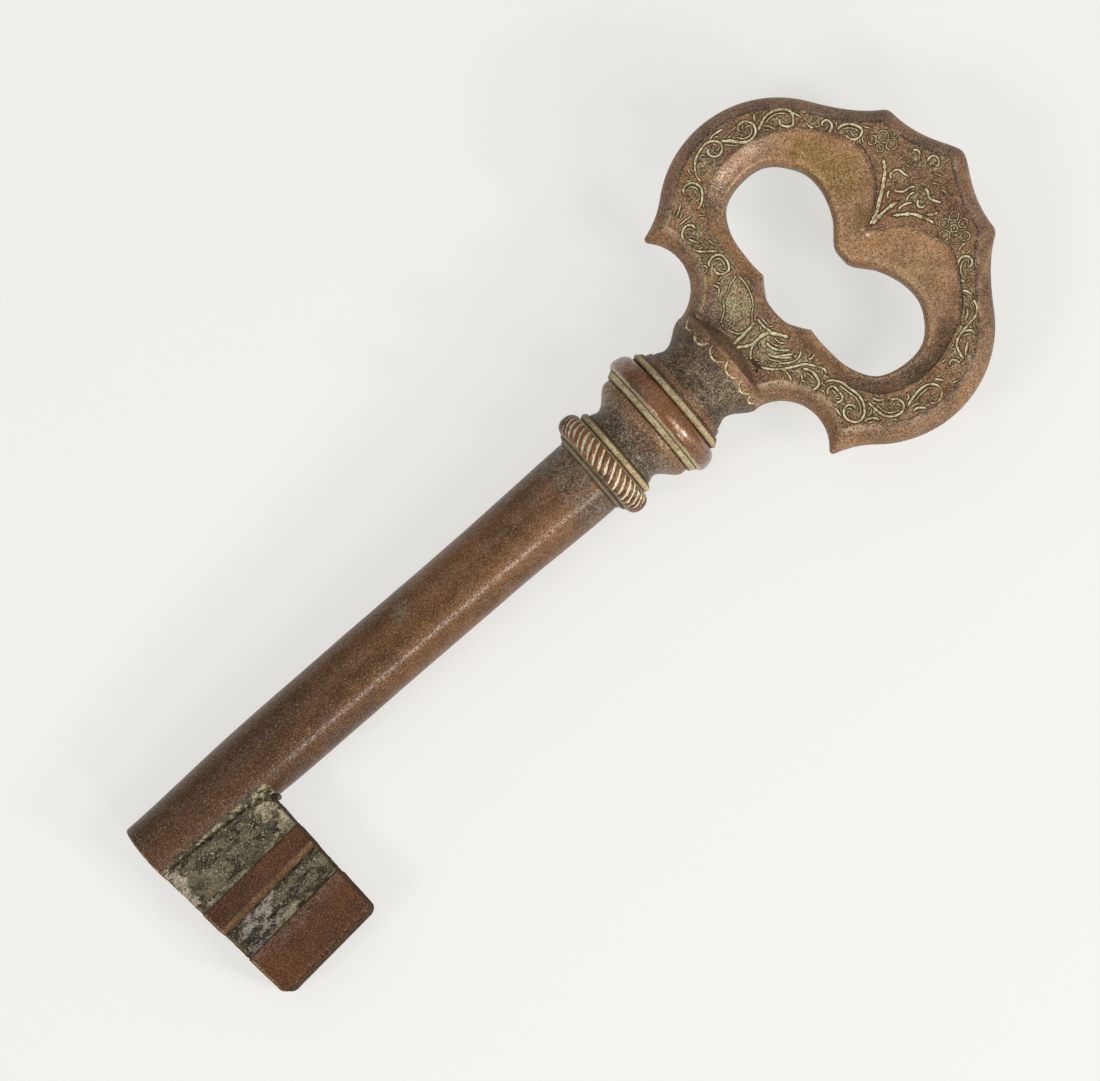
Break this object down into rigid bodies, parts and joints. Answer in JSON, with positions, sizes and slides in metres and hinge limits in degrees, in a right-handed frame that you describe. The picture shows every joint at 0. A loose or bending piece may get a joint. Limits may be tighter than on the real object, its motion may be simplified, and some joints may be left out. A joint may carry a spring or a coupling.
{
  "type": "decorative skeleton key",
  "caption": "Large ornamental bronze key with a pierced, dished bow, a collar of turned rings, a round drilled shank and a flat warded bit.",
  "frame": {"origin": "middle of the key's length on the shank's axis", "axes": "+X along the shank towards the crown of the bow, +Z square to the flat bow, bit towards -Y"},
  "size_m": [0.2616, 0.0949, 0.0342],
  "materials": {
    "cast_bronze": "worn satin patina",
    "turned_bronze": "worn satin patina",
    "dark_bronze": "dull speckled patina",
    "pale_bronze": "dull, lime-coloured deposits",
    "red_bronze": "worn satin patina",
    "filler_metal": "dull, rough"
  },
  "bodies": {
    "root": {"bow": "cast_bronze", "neck_ring": "pale_bronze", "torus_ring": "turned_bronze", "torus_seat_ring": "pale_bronze", "collar_spool": "dark_bronze", "spool_foot_ring": "pale_bronze", "rope_ring": "cast_bronze", "shank_lip_ring": "pale_bronze", "shank": "turned_bronze", "bit": "red_bronze", "bit_braze_front": "filler_metal", "bit_braze_back": "filler_metal", "bit_braze_heel": "filler_metal"}
  },
  "joints": []
}
